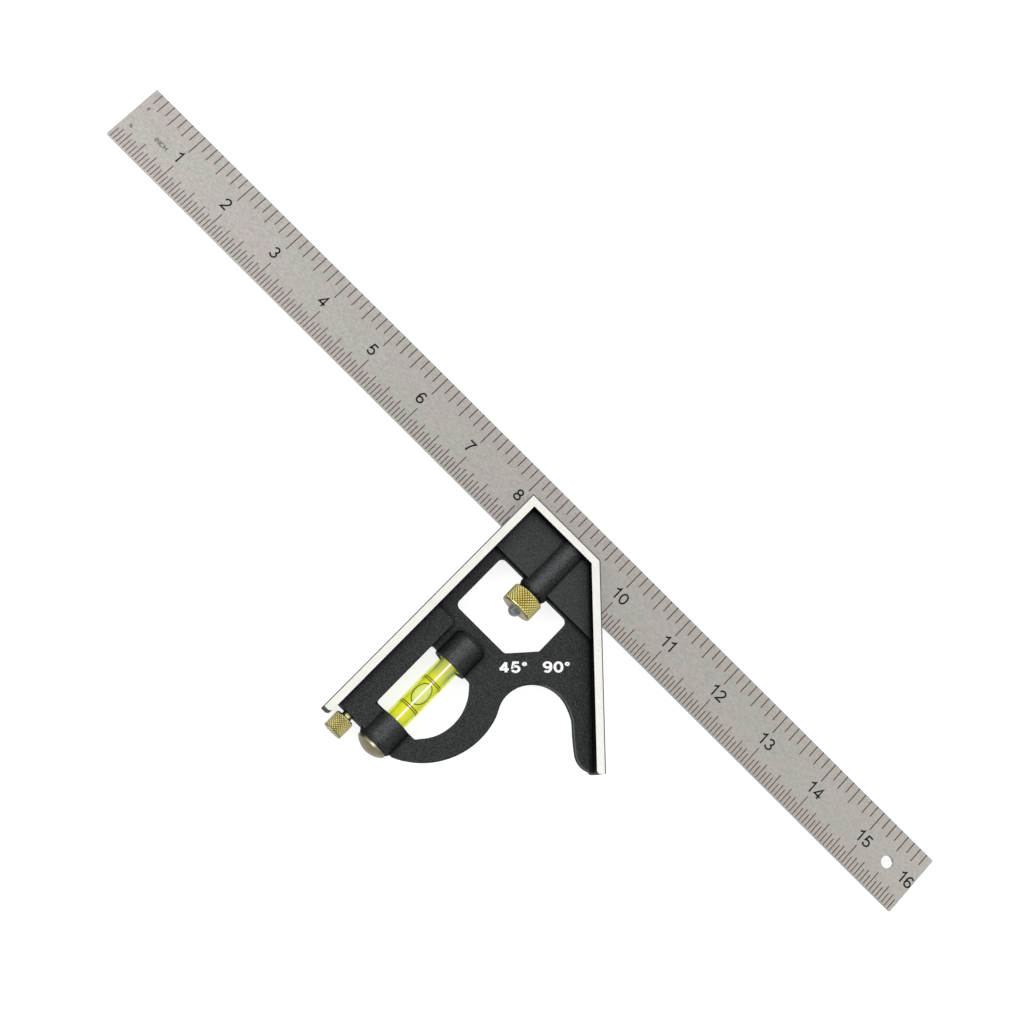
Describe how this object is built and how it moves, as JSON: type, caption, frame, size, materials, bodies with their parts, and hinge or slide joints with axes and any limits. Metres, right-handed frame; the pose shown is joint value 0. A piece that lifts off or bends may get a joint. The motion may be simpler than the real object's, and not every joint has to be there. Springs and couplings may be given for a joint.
{
  "type": "combination square",
  "caption": "Combination square: cast head with 90 and 45 degree faces, spirit level and scriber, sliding on a steel rule and gripped by a hooked bolt with a knurled nut.",
  "frame": {"origin": "vertex of the square: on the 90 degree face, where the blade's inner edge leaves the head, at mid thickness", "axes": "+X along the blade, away from the 90 degree face; +Y across the blade from its inner edge; +Z normal to the blade, out of its graduated front"},
  "size_m": [0.4064, 0.1226, 0.016],
  "materials": {
    "head": "black fine-textured enamel, with ground bare rails and faces",
    "blade_steel": "satin stainless steel",
    "bolt_steel": "dark plain steel",
    "spring_steel": "drawn spring wire",
    "brass": "satin brass",
    "acrylic": "clear acrylic",
    "fluid": "yellow-green vial liquid",
    "air": "air bubble",
    "bedding": "white setting compound",
    "ring_fill": "black paint fill",
    "sleeve": "black nylon"
  },
  "bodies": {
    "head": {"head_casting": "head", "lock_spring": "spring_steel", "vial_body": "acrylic", "vial_gauge_rings": "ring_fill", "vial_fluid": "fluid", "vial_end_plug": "acrylic", "vial_bedding_upper": "bedding", "vial_bedding_lower": "bedding", "vial_cover_cap": "brass", "scriber_sleeve": "sleeve"},
    "blade": {"blade": "blade_steel"},
    "bolt": {"lock_bolt": "bolt_steel"},
    "nut": {"lock_nut": "brass"},
    "bubble": {"vial_bubble": "air"},
    "scriber": {"scriber_needle": "bolt_steel", "scriber_knob": "brass"}
  },
  "joints": [
    {"name": "blade_slide", "type": "slide", "parent": "head", "child": "blade", "axis": [1, 0, 0], "range_m": [-0.165, 0.215]},
    {"name": "nut_turn", "type": "hinge", "parent": "head", "child": "nut", "pos_m": [0.025, -0.015, 0], "axis": [0, -1, 0], "range_deg": [0, 450]},
    {"name": "bolt_slide", "type": "slide", "parent": "head", "child": "bolt", "axis": [0, 1, 0], "range_m": [0, 0.001], "deforming": ["lock_spring"]},
    {"name": "bubble_drift", "type": "slide", "parent": "head", "child": "bubble", "axis": [0, 1, 0], "range_m": [-0.005, 0.005]},
    {"name": "scriber_pull", "type": "slide", "parent": "head", "child": "scriber", "axis": [0, -1, 0], "range_m": [0, 0.05]}
  ],
  "couplings": [
    {"joint": "bolt_slide", "follows": "nut_turn", "m_per_rad": 0.00012732}
  ]
}
